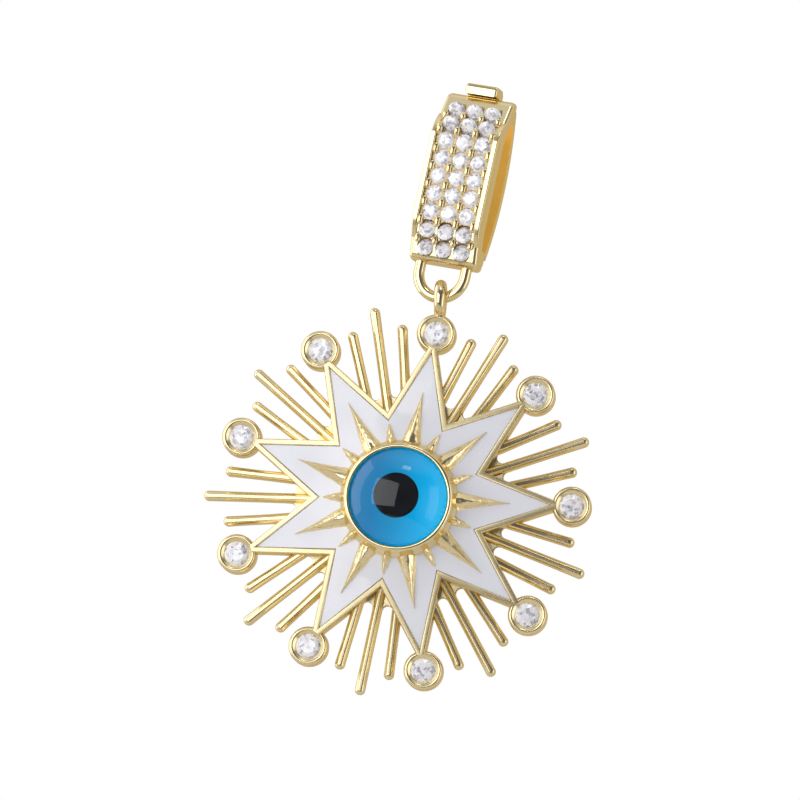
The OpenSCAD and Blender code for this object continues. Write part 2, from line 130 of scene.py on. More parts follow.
def drawOutline(name, points, low, high):  # a flat outline raised into a plate
    if sum(a[0] * b[1] - b[0] * a[1] for a, b in zip(points, points[1:] + points[:1])) < 0:
        points = list(reversed(points))  # they ran clockwise
    piece = newDisc(name, len(points), level=low)
    places = [v.co.copy() for v in piece.data.vertices]
    openPiece(piece)
    for i, (x, y) in enumerate(points):
        movePoint(piece, i, (x - places[i].x, y - places[i].y, 0))
    bpy.ops.mesh.select_all(action="SELECT")
    bpy.ops.mesh.extrude_region_move(TRANSFORM_OT_translate={"value": (0, 0, high - low)})
    return piece


def turnPiece(name, profile, sides, twist=0.0):
    # A round piece raised ring by ring from (radius, level) pairs. Rings of a new radius turn by the twist.
    radius, level = profile[0]
    piece = newDisc(name, sides, radius, level)
    openPiece(piece, "FACE")
    bpy.ops.mesh.select_all(action="SELECT")
    for nextRadius, nextLevel in profile[1:]:
        bpy.ops.mesh.extrude_region_move(TRANSFORM_OT_translate={"value": (0, 0, nextLevel - level)})
        ratio, middle = nextRadius / radius, (0, 0, nextLevel)
        bpy.ops.transform.resize(value=(ratio, ratio, 1), center_override=middle)
        if twist and ratio != 1:
            bpy.ops.transform.rotate(value=twist, orient_axis="Z", center_override=middle)
        radius, level = nextRadius, nextLevel
    return piece


def growBar(name, section, stations):
    # A bar along y. The section is (x, z) round the bar, and a station is (y, half width, low, high).
    piece = newDisc(name, len(section))
    places = [v.co.copy() for v in piece.data.vertices]
    y, half, low, high = stations[0]
    openPiece(piece)
    for i, (x, z) in enumerate(section):
        movePoint(piece, i, Vector((x * half, y, low + z * (high - low))) - places[i])
    bpy.ops.mesh.select_mode(type="FACE")
    bpy.ops.mesh.select_all(action="SELECT")
    for nextY, nextHalf, nextLow, nextHigh in stations[1:]:
        bpy.ops.mesh.extrude_region_move(TRANSFORM_OT_translate={"value": (0, nextY - y, nextLow - low)})
        bpy.ops.transform.resize(value=(nextHalf / half, 1, (nextHigh - nextLow) / (high - low)),
                                 center_override=(0, nextY, nextLow))
        y, half, low, high = nextY, nextHalf, nextLow, nextHigh
    return piece


def growRing(piece, before, after):  # raises a new ring of points from the face that is selected
    bpy.ops.mesh.select_mode(type="FACE")
    bpy.ops.mesh.extrude_region_move(TRANSFORM_OT_translate={"value": (0, 0, 0)})
    shape = bmesh.from_edit_mesh(piece.data)
    free = {v.index: v.co.copy() for v in shape.verts if v.select}
    bpy.ops.mesh.select_mode(type="VERT")
    ring = []
    for old, new in zip(before, after):
        nearest = min(free, key=lambda i: (free[i] - old).length)
        free.pop(nearest)
        ring.append(nearest)
        movePoint(piece, nearest, new - old)
    pick(piece, "verts", lambda v: v.index in ring)
    bpy.ops.mesh.select_mode(type="FACE")


def softenEdges(piece, width, rounds, test):  # rounds the edges that pass the test
    if pick(piece, "edges", test):
        bpy.ops.mesh.bevel(offset=width, offset_type="OFFSET", segments=rounds, affect="EDGES",
                           clamp_overlap=True)


def onCap(edge, half):  # an edge round one end face of a raised outline
    a, b = edge.verts
    return abs(a.co.z - b.co.z) < near and abs(abs(a.co.z) - half) < near


def closePiece(piece, smooth=35):  # smooth is an angle in degrees, or 0 for flat facets
    bpy.ops.mesh.select_all(action="SELECT")
    bpy.ops.mesh.remove_doubles(threshold=near / 2)
    bpy.ops.mesh.normals_make_consistent(inside=False)
    bpy.ops.object.mode_set(mode="OBJECT")
    if smooth:
        smoothPiece(piece, smooth)
    return piece


def smoothPiece(piece, smooth):  # rounds the shading of soft edges and keeps broad faces flat
    choose(piece)
    bpy.ops.object.shade_smooth_by_angle(angle=math.radians(smooth))
    even = piece.modifiers.new("even", "WEIGHTED_NORMAL")
    even.keep_sharp = True
    even.weight = 80
    bpy.ops.object.modifier_apply(modifier="even")


def cutWith(piece, cutter, kind="DIFFERENCE"):
    choose(piece)
    cut = piece.modifiers.new("cut", "BOOLEAN")
    cut.operation = kind
    cut.solver = "EXACT"
    cut.use_self = True
    cut.object = cutter
    bpy.ops.object.modifier_apply(modifier="cut")
    bpy.data.objects.remove(cutter)


def setPiece(piece, place):  # moves a finished shape to its place and leaves its object at the origin
    choose(piece)
    piece.matrix_world = place
    bpy.ops.object.transform_apply(location=True, rotation=True, scale=True)
    return piece


def copyPiece(piece, name, place):
    twin = piece.copy()
    twin.data = piece.data.copy()
    twin.name = twin.data.name = name
    bpy.context.scene.collection.objects.link(twin)
    return setPiece(twin, place)


def dropShapes(*shapes):  # shapes that only served to be copied
    for shape in shapes:
        bpy.data.objects.remove(shape)


def dress(piece, material, body, slot, *nodes):  # finish, body and the solids it stands for
    piece.data.materials.clear()
    piece.data.materials.append(material)
    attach(piece, body)
    if nodes:
        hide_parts(*nodes)
    return piece


def dressStar(piece, material):
    return dress(piece, material, "drop", "gold_plate", "star_frame")


def dressBail(piece):
    return dress(piece, gold, "bail", "gold_plate", "bail_shell")


def dressGate(piece):
    return dress(piece, gold, "gate", "gold_plate", "bail_gate")


def lineFaces(piece, material, test):  # gives the faces that pass the test another finish
    piece.data.materials.append(material)
    for face in piece.data.polygons:
        if test(face.center / mm, face.normal):
            face.material_index = len(piece.data.materials) - 1


def turned(k, offset=0.0):  # place of the k-th copy round the star
    return starPlace @ Matrix.Rotation(-(k + offset) * stepAngle, 4, "Z")


# Camera

view = {"azimuth": 19, "elevation": -6, "roll": 12.3, "distance": 450, "pixelsPerMm": 13.06,
        "aim": (0, 0, -22), "aimPixel": (418.4, 398.2), "frame": 800, "sensor": 36}


def lookFrom(azimuth, elevation):  # direction from the pendant, turned from its front in degrees
    a, e = math.radians(azimuth), math.radians(elevation)
    return Vector((math.sin(a) * math.cos(e), -math.cos(a) * math.cos(e), math.sin(e)))


def placeCamera():
    azimuth, roll = math.radians(view["azimuth"]), math.radians(view["roll"])
    back = lookFrom(view["azimuth"], view["elevation"])
    right = Vector((math.cos(azimuth), math.sin(azimuth), 0))
    up = back.cross(right)
    camRight = right * math.cos(roll) + up * math.sin(roll)
    camUp = up * math.cos(roll) - right * math.sin(roll)
    offX = (view["frame"] / 2 - view["aimPixel"][0]) / view["pixelsPerMm"]
    offY = (view["aimPixel"][1] - view["frame"] / 2) / view["pixelsPerMm"]
    place = Vector(view["aim"]) + back * view["distance"] + camRight * offX + camUp * offY
    data = bpy.data.cameras.new("camera")
    data.sensor_width = view["sensor"]
    data.lens = view["sensor"] * view["distance"] * view["pixelsPerMm"] / view["frame"]
    data.clip_start, data.clip_end = 0.01, 20
    camera = bpy.data.objects.new("camera", data)
    facing = Matrix((camRight, camUp, back)).transposed().to_4x4()
    camera.matrix_world = Matrix.Translation(place * mm) @ facing
    bpy.context.scene.collection.objects.link(camera)
    bpy.context.scene.camera = camera


placeCamera()
print("camera placed")


# Materials

def newMaterial(name):
    material = bpy.data.materials.new(name)
    material.use_nodes = True
    return material, material.node_tree, material.node_tree.nodes["Principled BSDF"]


def spotPattern(tree, kind, scale):  # a pattern fixed to the piece, in object coordinates
    coords = tree.nodes.new("ShaderNodeTexCoord")
    pattern = tree.nodes.new(kind)
    tree.links.new(coords.outputs["Object"], pattern.inputs["Vector"])
    pattern.inputs["Scale"].default_value = scale
    return pattern


def noise(tree, scale, detail):
    pattern = spotPattern(tree, "ShaderNodeTexNoise", scale)
    pattern.inputs["Detail"].default_value = detail
    return pattern.outputs["Fac"]


def ramp(tree, source, stops):
    node = tree.nodes.new("ShaderNodeValToRGB")
    ends = node.color_ramp.elements
    ends[0].position, ends[0].color = stops[0][0], (*stops[0][1], 1)
    ends[1].position, ends[1].color = stops[-1][0], (*stops[-1][1], 1)
    for place, colour in stops[1:-1]:
        ends.new(place).color = (*colour, 1)
    tree.links.new(source, node.inputs["Fac"])
    return node.outputs["Color"]


def spread(tree, source, low, high, fromLow=0.0, fromHigh=1.0):
    node = tree.nodes.new("ShaderNodeMapRange")
    node.inputs["From Min"].default_value, node.inputs["From Max"].default_value = fromLow, fromHigh
    node.inputs["To Min"].default_value, node.inputs["To Max"].default_value = low, high
    tree.links.new(source, node.inputs["Value"])
    return node.outputs["Result"]


def paint(tree, shader, colour, glow=0.0):  # glow stands for light that gathers inside
    tree.links.new(colour, shader.inputs["Base Color"])
    if glow:
        tree.links.new(colour, shader.inputs["Emission Color"])
        shader.inputs["Emission Strength"].default_value = glow


def addBump(tree, shader, pattern, depth):  # depth in millimetres
    bump = tree.nodes.new("ShaderNodeBump")
    bump.inputs["Strength"].default_value = 1.0
    bump.inputs["Distance"].default_value = depth * mm
    tree.links.new(pattern, bump.inputs["Height"])
    tree.links.new(bump.outputs["Normal"], shader.inputs["Normal"])


def makeGold(name, grain, depth, rough, dark=(0.86, 0.725, 0.43), light=(0.92, 0.785, 0.49)):
    # Plated gold: a slight drift of tone, polish that varies, and a fine skin left by casting.
    material, tree, shader = newMaterial(name)
    shader.inputs["Metallic"].default_value = 1.0
    drift = noise(tree, 160, detail=3)
    paint(tree, shader, ramp(tree, drift, [(0.3, dark), (0.7, light)]))
    polish = noise(tree, 420, detail=2)
    sheen = spread(tree, polish, rough * 0.75, rough * 1.3)
    tree.links.new(sheen, shader.inputs["Roughness"])
    shader.inputs["Specular Tint"].default_value = (0.88, 0.79, 0.56, 1)
    addBump(tree, shader, noise(tree, grain, detail=3), depth)
    return material


def makeHollowGoldPaintedGlow():
    # The unpolished inside of the bail: satin gold with painted light, its deep warm orange and its glow
    # standing for light that bounces round the hollow.
    material, tree, shader = newMaterial("hollow_gold_painted_glow")
    shader.inputs["Metallic"].default_value = 0.5
    drift = noise(tree, 260, detail=3)
    # painted light: a deep orange for light bounced between the gold walls
    tone = ramp(tree, drift, [(0.3, (0.74, 0.46, 0.08)), (0.7, (0.90, 0.61, 0.14))])
    # painted glow: the hollow shines as if light gathered in it
    paint(tree, shader, tone, glow=0.35)
    shader.inputs["Roughness"].default_value = 0.32
    addBump(tree, shader, noise(tree, 700, detail=2), 0.01)
    return material


def makeEnamel():
    material, tree, shader = newMaterial("white_enamel")
    cloud = noise(tree, 240, detail=2)
    tone = ramp(tree, cloud, [(0.3, (0.84, 0.85, 0.93)), (0.7, (0.88, 0.885, 0.95))])
    paint(tree, shader, tone)
    shader.inputs["Roughness"].default_value = 0.16
    shader.inputs["Emission Color"].default_value = (0.82, 0.84, 1.0, 1)
    shader.inputs["Emission Strength"].default_value = 0.11  # light scattered in the enamel
    shader.inputs["Coat Weight"].default_value = 0.6
    shader.inputs["Coat Roughness"].default_value = 0.05
    addBump(tree, shader, noise(tree, 300, detail=1), 0.012)
    return material


def makeCrystalPaintedFlashes(name, cell):
    # A cut stone under sharp facets, with painted light: bright and grey cells inside stand for flashes of
    # light and shade, and a faint painted glow.
    material, tree, shader = newMaterial(name)
    cells = spotPattern(tree, "ShaderNodeTexVoronoi", cell)
    split = tree.nodes.new("ShaderNodeSeparateColor")
    tree.links.new(cells.outputs["Color"], split.inputs["Color"])
    # painted reflections: cells from grey to white stand for the stone's flashes
    tone = ramp(tree, split.outputs["Red"], [
        (0.0, (0.36, 0.36, 0.44)), (0.2, (0.60, 0.60, 0.67)), (0.42, (0.86, 0.85, 0.91)),
        (0.7, (0.97, 0.95, 1.0)), (1.0, (1.0, 1.0, 1.0))])
    # painted glow in the stone
    paint(tree, shader, tone, glow=0.12)
    shader.inputs["Roughness"].default_value = 0.06
    shader.inputs["IOR"].default_value = 2.1
    return material


gold = makeGold("polished_gold", grain=400, depth=0.004, rough=0.13)
rayGold = makeGold("ray_gold", grain=400, depth=0.004, rough=0.21)
rimGold = makeGold("rim_gold", grain=500, depth=0.006, rough=0.28)
castGold = makeGold("cast_gold", grain=1500, depth=0.075, rough=0.13)
innerGold = makeGold("inner_gold", grain=500, depth=0.01, rough=0.24)
# painted shade: a darker gold for the recesses round the stones and under the beads
seatGoldPaintedShade = makeGold("seat_gold_painted_shade", grain=1500, depth=0.04, rough=0.3, dark=(0.40, 0.27, 0.10),
                    light=(0.58, 0.42, 0.18))
hollowGoldPaintedGlow = makeHollowGoldPaintedGlow()
enamelWhite = makeEnamel()
crystal = makeCrystalPaintedFlashes("tip_crystal", cell=4200)
smallCrystal = makeCrystalPaintedFlashes("bail_crystal", cell=5000)
print("metal, enamel and crystal made")


# Star: outline, pocket and ledges

plate = {"step": 1.0, "rimDrop": 0.12, "rimFall": 0.45, "pointEdge": 0.002,
         "rimRound": ((0, 0.14), (0.015, 0.075), (0.05, 0.025), (0.1, 0.0), (0.23, -0.006), (0.36, 0.0),
                      (0.41, 0.025), (0.445, 0.075), (star["rim"], 0.14))}
ledge = {"under": 0.02, "level": 0.6, "edge": 8.0, "sideRoot": 1.5, "rayWidth": 0.65, "round": 0.08,
         "gapSteps": 6}


def starOutline(inset):
    half = stepAngle / 2
    valley = Vector((star["valley"] * math.sin(half), star["valley"] * math.cos(half)))
    end = Vector((star["pointHalf"], star["pointEnd"]))
    along = (end - valley).normalized()
    p = valley + Vector((-along.y, along.x)) * inset  # the flank, moved inwards
    down = Vector((math.sin(half), math.cos(half)))
    inner = p + along * ((p.x * down.y - p.y * down.x) / (along.y * down.x - along.x * down.y))
    blunt = p + along * ((end.y - p.y) / along.y)
    if blunt.x < 2 * plate["pointEdge"]:  # the flanks meet before the point's blunt end
        sharp = p + along * (-p.x / along.x)
        blunt = Vector((plate["pointEdge"], sharp.y))
    points = []
    for k in range(star["points"]):
        spin = Matrix.Rotation(-k * stepAngle, 2)
        points += [tuple(spin @ v) for v in (Vector((-blunt.x, blunt.y)), blunt, inner)]
    return points


def levelAt(r):  # height of the star's face at the distance r from its middle
    steps = [(star["middle"], star["middleLevel"]), (star["valley"], star["valleyLevel"]),
             (star["tip"], star["tipLevel"])]
    for (r0, z0), (r1, z1) in zip(steps, steps[1:]):
        if r <= r1:
            return z0 + (z1 - z0) * max(r - r0, 0) / (r1 - r0)
    return steps[-1][1]


def topAt(r):  # the raised outline falls evenly from the valleys to the points
    slope = plate["rimFall"] * (star["valleyLevel"] - star["tipLevel"]) / (star["pointEnd"] - star["valley"])
    return star["valleyLevel"] - plate["rimDrop"] - (r - star["valley"]) * slope


def buildPlate():
    # Walls, a rounded rim, then the walls and floor of the pocket.
    outline = starOutline(0)
    piece = drawOutline("star_plate", outline, 0, plate["step"])
    before = [Vector((x, y, plate["step"])) for x, y in outline]
    for inset, drop in plate["rimRound"]:
        after = [Vector((x, y, topAt(math.hypot(x, y)) - drop)) for x, y in starOutline(inset)]
        growRing(piece, before, after)
        before = after
    growRing(piece, before, [Vector((v.x, v.y, star["pocket"])) for v in before])
    return setPiece(closePiece(piece, smooth=50), starPlace)


def buildLedges():
    reach = ledge["edge"] + ledge["sideRoot"] / 2
    side = reach - star["valley"]
    gapHalf = (ledge["sideRoot"] - ledge["rayWidth"]) / 2
    gapMiddle = (ledge["sideRoot"] + ledge["rayWidth"] / 8) / 2
    points = [(0, star["valley"] - star["rim"]), (side, reach)]
    for middle in (gapMiddle, -gapMiddle):  # a round gap on each side of the middle ray
        points.append((middle + gapHalf, reach))
        for i in range(ledge["gapSteps"] + 1):
            a = math.pi * i / ledge["gapSteps"]
            points.append((middle + gapHalf * math.cos(a), ledge["edge"] + gapHalf * (1 - math.sin(a))))
        points.append((middle - gapHalf, reach))
    points.append((-side, reach))
    web = drawOutline("ledge", points, ledge["under"], ledge["level"])
    softenEdges(web, ledge["round"], 2, lambda e: min(v.co.z for v in e.verts) > ledge["level"] - slack)
    closePiece(web)
    for k in range(star["points"]):
        dressStar(copyPiece(web, f"ledge_{k + 1}", turned(k, 0.5)), innerGold)
    dropShapes(web)


dressStar(buildPlate(), rimGold)
buildLedges()
print("star plate and ledges built")


# Enamel

enamel = {"foot": 0.92, "step": 0.12, "gap": 0.01, "round": 0.07, "sharp": 1.0, "roundFrom": 5.0,
          "roundAbove": 1.5, "cut": (0.5, 4),
          "rings": (13.0, 12.0, 11.0, 10.0, 9.0, 8.0, 7.3, 6.8, 6.3, 5.6, 5.0, 4.5, 4.0)}


def buildEnamel():
    # A turned cap that follows the star's face, cut to the outline of the pocket.
    rings = [(r, levelAt(r) - enamel["step"]) for r in enamel["rings"]]
    foot = (enamel["rings"][0], enamel["foot"])
    fill = closePiece(turnPiece("enamel_fill", [foot] + rings, sides=180), smooth=0)
    outline = drawOutline("enamel_outline", starOutline(star["rim"] + enamel["gap"]), *enamel["cut"])
    cutWith(fill, closePiece(outline, smooth=0), "INTERSECT")
    openPiece(fill)
    softenEdges(fill, enamel["round"], 3, lambda e: len(e.link_faces) == 2
                and e.calc_face_angle(0) > enamel["sharp"] and e.verts[0].co.xy.length > enamel["roundFrom"]
                and min(v.co.z for v in e.verts) > enamel["roundAbove"])
    return setPiece(closePiece(fill, smooth=25), starPlace)


dress(buildEnamel(), enamelWhite, "drop", "white_enamel", "enamel")
print("enamel laid")


# Rays

ray = {"middleTip": 15.1, "sideTip": 13.65, "rootX": 1.5, "tipX": 1.95, "width": 0.78, "root": 1.25,
       "low": 0.95, "under": 0.04, "waist": 0.06, "fallEnd": 0.65, "fallBend": 1.8,
       "endSteps": 6, "endTurn": 17, "endLift": 0.8}
raySection = [
    (-0.92, 0), (-1, 0.12), (-1, 0.5), (-0.97, 0.64), (-0.88, 0.77), (-0.74, 0.87), (-0.56, 0.945),
    (-0.38, 0.985), (-0.2, 0.998), (0.16, 1.0), (0.36, 0.975), (0.56, 0.92), (0.74, 0.84), (0.88, 0.74),
    (0.97, 0.62), (1, 0.48), (1, 0.12), (0.92, 0)]


def rayStations(length):
    half, low, under = ray["width"] / 2, ray["low"], ray["under"]
    stations = []
    for t in (0, 0.08, 0.16, 0.25, 0.36, 0.5, 0.65, 0.8, 0.9):
        fall = max(0.0, 1 - t / ray["fallEnd"]) ** ray["fallBend"]
        slim = 1 - ray["waist"] * math.sin(math.pi * t)
        stations.append((t * length, half * slim, under, low + (ray["root"] - low) * fall))
    for i in range(ray["endSteps"]):  # the round end
        a = math.radians(i * ray["endTurn"])
        blunt = 0.5 * (1 - math.cos(a))
        stations.append((length - half + half * math.sin(a), half * math.cos(a),
                         under + low * blunt * ray["endLift"], low * (1 - blunt)))
    return stations


def buildRays():
    root = star["valley"] - star["rim"] / 2
    half = stepAngle / 2
    end = star["pointEnd"]
    rise = (end * math.cos(half) - star["valley"]) / (end * math.sin(half))
    sideStart = star["valley"] + ray["rootX"] * rise - ray["width"] / 4
    sideEnd = math.sqrt(ray["sideTip"] ** 2 - ray["tipX"] ** 2)
    leanAngle = math.atan2(ray["tipX"] - ray["rootX"], sideEnd - sideStart)
    sideLength = math.hypot(ray["tipX"] - ray["rootX"], sideEnd - sideStart)
    long = closePiece(growBar("ray_long", raySection, rayStations(ray["middleTip"] - root)), smooth=50)
    short = closePiece(growBar("ray_short", raySection, rayStations(sideLength)), smooth=50)
    places = [(long, Matrix.Translation((0, root, 0)))]
    for side in (-1, 1):
        places.append((short, Matrix.Translation((side * ray["rootX"], sideStart, 0))
                       @ Matrix.Rotation(-side * leanAngle, 4, "Z")))
    count = 0
    for k in range(star["points"]):
        for shape, local in places:
            count += 1
            dressStar(copyPiece(shape, f"ray_{count}", turned(k, 0.5) @ local), rayGold)
    dropShapes(long, short)


buildRays()
print("rays built")


# Sunburst

spike = {"start": 4.2, "long": {"tip": 8.4, "half": 0.84, "taper": 1.12},
         "short": {"tip": 5.85, "half": 0.5, "taper": 0.72}, "ridge": 3.3, "ridgeBend": 0.94, "sink": 0.45,
         "edge": 0.03, "rough": 0.045, "roughLength": 1.6, "roughLevel": 2.3, "roughFrom": 0.05}
spikeSection = [(0, 1), (-0.3, 0.93), (-0.55, 0.76), (-0.78, 0.54), (-1, 0.28), (-1, 0),
                (1, 0), (1, 0.28), (0.78, 0.54), (0.55, 0.76), (0.3, 0.93)]


def spikeStations(tip, half, taper):
    stations = []
    for t in (0, 0.12, 0.24, 0.36, 0.48, 0.6, 0.72, 0.84, 0.93, 1.0):
        y = spike["start"] + (tip - spike["start"]) * t
        wide = half * (1 - t) ** taper + spike["edge"]
        drop = levelAt(tip) + spike["edge"] - spike["ridge"]
        top = spike["ridge"] + drop * t ** spike["ridgeBend"]
        stations.append((y, wide, levelAt(y) - spike["sink"], top))
    return stations


def buildSpike(size):
    shape = growBar("spike", spikeSection, spikeStations(**size))
    pick(shape, "verts", lambda v: v.co.y < spike["start"] + spike["roughLength"]
         and abs(v.co.x) > spike["roughFrom"] and v.co.z > spike["roughLevel"])
    bpy.ops.transform.vertex_random(offset=spike["rough"], seed=4)
    return closePiece(shape, smooth=28)


def buildSunburst():
    long, short = buildSpike(spike["long"]), buildSpike(spike["short"])
    for k in range(star["points"]):
        dressStar(copyPiece(long, f"long_spike_{k + 1}", turned(k)), castGold)
        dressStar(copyPiece(short, f"short_spike_{k + 1}", turned(k, 0.5)), castGold)
    dropShapes(long, short)


buildSunburst()
print("sunburst built")


# Eye

# glowLevel and glowSide place the painted light across the blue glass
eye = {"radius": 4.0, "edge": 0.06, "seat": 2.92, "top": 3.62, "pupil": 2.9, "pupilRise": 0.012,
       "pupilEdge": ((0, -0.2), (0, 0.004), (0.02, 0.01)), "pupilFlat": 0.3,
       "pupilShift": (-0.15, 0.1, 0), "domeFoot": 3.3, "domeTop": 5.99, "domeRadius": 4.579, "domeRings": 30,
       "glowLevel": 3.6, "glowSide": (1.0, 0.05, 0)}
bezelProfile = [
    (4.5, 0.9), (4.5, 2.72), (4.49, 2.86), (4.45, 3.02), (4.38, 3.2), (4.31, 3.4), (4.25, 3.62), (4.2, 3.84),
    (4.16, 4.02), (4.12, 4.14), (4.06, 4.22), (3.98, 4.265), (3.9, 4.275), (3.83, 4.26), (3.77, 4.22),
    (3.735, 4.16), (3.73, 4.08), (3.8, 3.9), (4.02, 3.72), (4.02, 2.9)]


def vectorNode(tree, operation, source, value=None):
    node = tree.nodes.new("ShaderNodeVectorMath")
    node.operation = operation
    tree.links.new(source, node.inputs[0])
    if value is not None:
        node.inputs[1].default_value = value
    return node


def makeBluePaintedLight():
    # Blue glass with painted light: lighter towards the right for light passing through it, painted shade
    # round the pupil and a dark painted rim, and a painted glow.
    material, tree, shader = newMaterial("blue_glass")
    coords = tree.nodes.new("ShaderNodeTexCoord")
    radius = eye["radius"] * mm
    across = (starPlace.to_3x3() @ Vector(eye["glowSide"])).normalized() / radius
    centre = starPlace @ Vector((0, 0, eye["glowLevel"]))
    offset = vectorNode(tree, "SUBTRACT", coords.outputs["Object"], centre).outputs["Vector"]
    side = spread(tree, vectorNode(tree, "DOT_PRODUCT", offset, across).outputs["Value"], 0, 1, -1)
    away = spread(tree, vectorNode(tree, "LENGTH", offset).outputs["Value"], 0, 1, 0, radius)
    # painted light: lighter on the right side and darker on the left
    tone = ramp(tree, side, [
        (0.0, (0.001, 0.185, 0.41)), (0.3, (0.001, 0.22, 0.5)), (0.5, (0.001, 0.32, 0.64)),
        (0.75, (0.002, 0.48, 0.92)), (1.0, (0.003, 0.6, 1.0))])
    # painted shade: darker round the pupil and dark at the rim
    edge = ramp(tree, away, [
        (0.0, (0.66, 0.84, 0.84)), (0.5, (0.72, 0.9, 0.9)), (0.7, (1, 1, 1)), (0.87, (1, 1, 1)),
        (0.965, (0.08, 0.24, 0.26))])
    mix = tree.nodes.new("ShaderNodeMix")
    mix.data_type, mix.blend_type = "RGBA", "MULTIPLY"
    mix.inputs["Factor"].default_value = 1.0
    tree.links.new(tone, mix.inputs["A"])
    tree.links.new(edge, mix.inputs["B"])
    # painted glow for light carried through the glass
    paint(tree, shader, mix.outputs["Result"], glow=0.5)
    shader.inputs["Roughness"].default_value = 0.6
    shader.inputs["Specular IOR Level"].default_value = 0.0
    return material


def makeBlack():
    material, tree, shader = newMaterial("black_glass")
    haze = noise(tree, 900, detail=2)
    tone = ramp(tree, haze, [(0.3, (0.002, 0.003, 0.006)), (0.7, (0.006, 0.008, 0.016))])
    paint(tree, shader, tone)
    shader.inputs["Roughness"].default_value = 0.5
    shader.inputs["Specular IOR Level"].default_value = 0.1
    return material


def makeClear():
    material, tree, shader = newMaterial("clear_glass")
    shader.inputs["Base Color"].default_value = (0.97, 0.99, 1.0, 1)
    shader.inputs["Transmission Weight"].default_value = 1.0
    shader.inputs["IOR"].default_value = 1.5
    wipe = noise(tree, 400, detail=2)
    tree.links.new(spread(tree, wipe, 0.0, 0.02), shader.inputs["Roughness"])
    return material


def buildEye():
    bezel = closePiece(turnPiece("eye_bezel", bezelProfile, sides=144), smooth=40)
    dressStar(setPiece(bezel, starPlace), gold)
    base, top, radius = eye["seat"], eye["top"], eye["radius"] - eye["edge"] / 2
    profile = [(radius, base), (radius, top - eye["edge"]), (radius - eye["edge"], top)]
    disc = closePiece(turnPiece("blue_disc", profile, sides=128), smooth=60)
    dress(setPiece(disc, starPlace), makeBluePaintedLight(), "drop", "blue_glass", "eye_iris")
    profile = [(eye["pupil"] / 2 - inset, top + rise) for inset, rise in eye["pupilEdge"]]
    profile.append((eye["pupilFlat"], top + eye["pupilRise"]))
    dot = closePiece(turnPiece("black_pupil", profile, sides=96), smooth=60)
    setPiece(dot, starPlace @ Matrix.Translation(eye["pupilShift"]))
    dress(dot, makeBlack(), "drop", "black_glass", "eye_pupil")
    radius = eye["radius"] - 0.01
    profile = [(radius, base), (radius, eye["domeFoot"])]
    start = math.asin(radius / eye["domeRadius"])
    for i in range(eye["domeRings"]):
        a = start * (1 - i / eye["domeRings"])
        profile.append((eye["domeRadius"] * math.sin(a),
                        eye["domeTop"] + eye["domeRadius"] * (math.cos(a) - 1)))
    profile.append((0.04, eye["domeTop"]))
    dome = closePiece(turnPiece("glass_dome", profile, sides=144), smooth=40)
    dress(setPiece(dome, starPlace), makeClear(), "drop", "clear_glass", "eye_dome")


buildEye()
print("eye built")


# Tip settings and their stones

# Rings of a cut stone from its tip to its table, as shares of its half width and its width
facetRings = [(0.08, -0.42), (0.52, -0.22), (1.0, -0.02), (1.0, 0.0), (0.84, 0.075), (0.56, 0.15)]
setting = {"radius": 1.5, "level": 1.84, "girdle": 1.55, "stone": 1.98, "floor": 0.7, "bore": 0.6,
           "foot": ((0.06, 0.03), (0, 0.09))}
# The setting's lip, as distances in from its side and down from its top
lip = [(0, 0.4), (0.01, 0.28), (0.04, 0.17), (0.09, 0.08), (0.15, 0.025), (0.22, 0), (0.29, 0.015),
       (0.36, 0.06), (0.42, 0.11), (0.5, 0.17), (0.58, 0.22), (0.63, 0.27), (0.6, 0.34)]


def buildStone(name, width, facets=16):  # a ring of a new width is turned by half a facet
    profile = [(share * width / 2, level * width) for share, level in facetRings]
    stone = turnPiece(name, profile, facets, twist=math.pi / facets)
    bpy.ops.mesh.select_all(action="SELECT")
    bpy.ops.mesh.quads_convert_to_tris()
    return closePiece(stone, smooth=0)


def buildSettings():
    r, z = setting["radius"], setting["level"]
    profile = [(r - inset, level) for inset, level in setting["foot"]]
    profile += [(r - inset, z - drop) for inset, drop in lip] + [(r - setting["bore"], setting["floor"])]
    cup = closePiece(turnPiece("tip_cup", profile, sides=64), smooth=45)
    stone = buildStone("tip_gem", setting["stone"])
    for k in range(star["points"]):
        place = turned(k) @ Matrix.Translation((0, star["tip"], 0))
        dressStar(copyPiece(cup, f"tip_setting_{k + 1}", place), rayGold)
        gem = copyPiece(stone, f"tip_gem_{k + 1}", place @ Matrix.Translation((0, 0, setting["girdle"])))
        dress(gem, crystal, "drop", "crystal", f"tip_stone_{k + 1}")
    dropShapes(cup, stone)


buildSettings()
print("tip settings built")


# Loop on the star

def buildLoop():
    clearSelection()
    bpy.ops.mesh.primitive_torus_add(major_segments=72, minor_segments=24, major_radius=loop["radius"],
                                     minor_radius=loop["wire"] / 2, rotation=(0, quarterTurn, 0))
    ring = nameNew("star_loop")
    openPiece(ring)
    pick(ring, "verts", lambda v: v.co.y < loop["solderBelow"])  # a little narrower where it is soldered on
    bpy.ops.transform.resize(value=(loop["solderWidth"], 1, 1), center_override=(0, 0, 0))
    closePiece(ring, smooth=60)
    return setPiece(ring, starPlace @ Matrix.Translation((0, loop["foot"], loop["level"]))
                    @ Matrix.Rotation(lean, 4, "Z")
                    @ Matrix.Translation((0, loop["radius"] + loop["wire"] / 2, 0)))


dressStar(buildLoop(), gold)
print("loop built")


# Bail

def meet(a, b):  # where two lines cross, each given by two points
    (p, q), (r, s) = a, b
    u, v = (q[0] - p[0], q[1] - p[1]), (s[0] - r[0], s[1] - r[1])
    t = ((r[0] - p[0]) * v[1] - (r[1] - p[1]) * v[0]) / (u[0] * v[1] - u[1] * v[0])
    return (p[0] + u[0] * t, p[1] + u[1] * t)


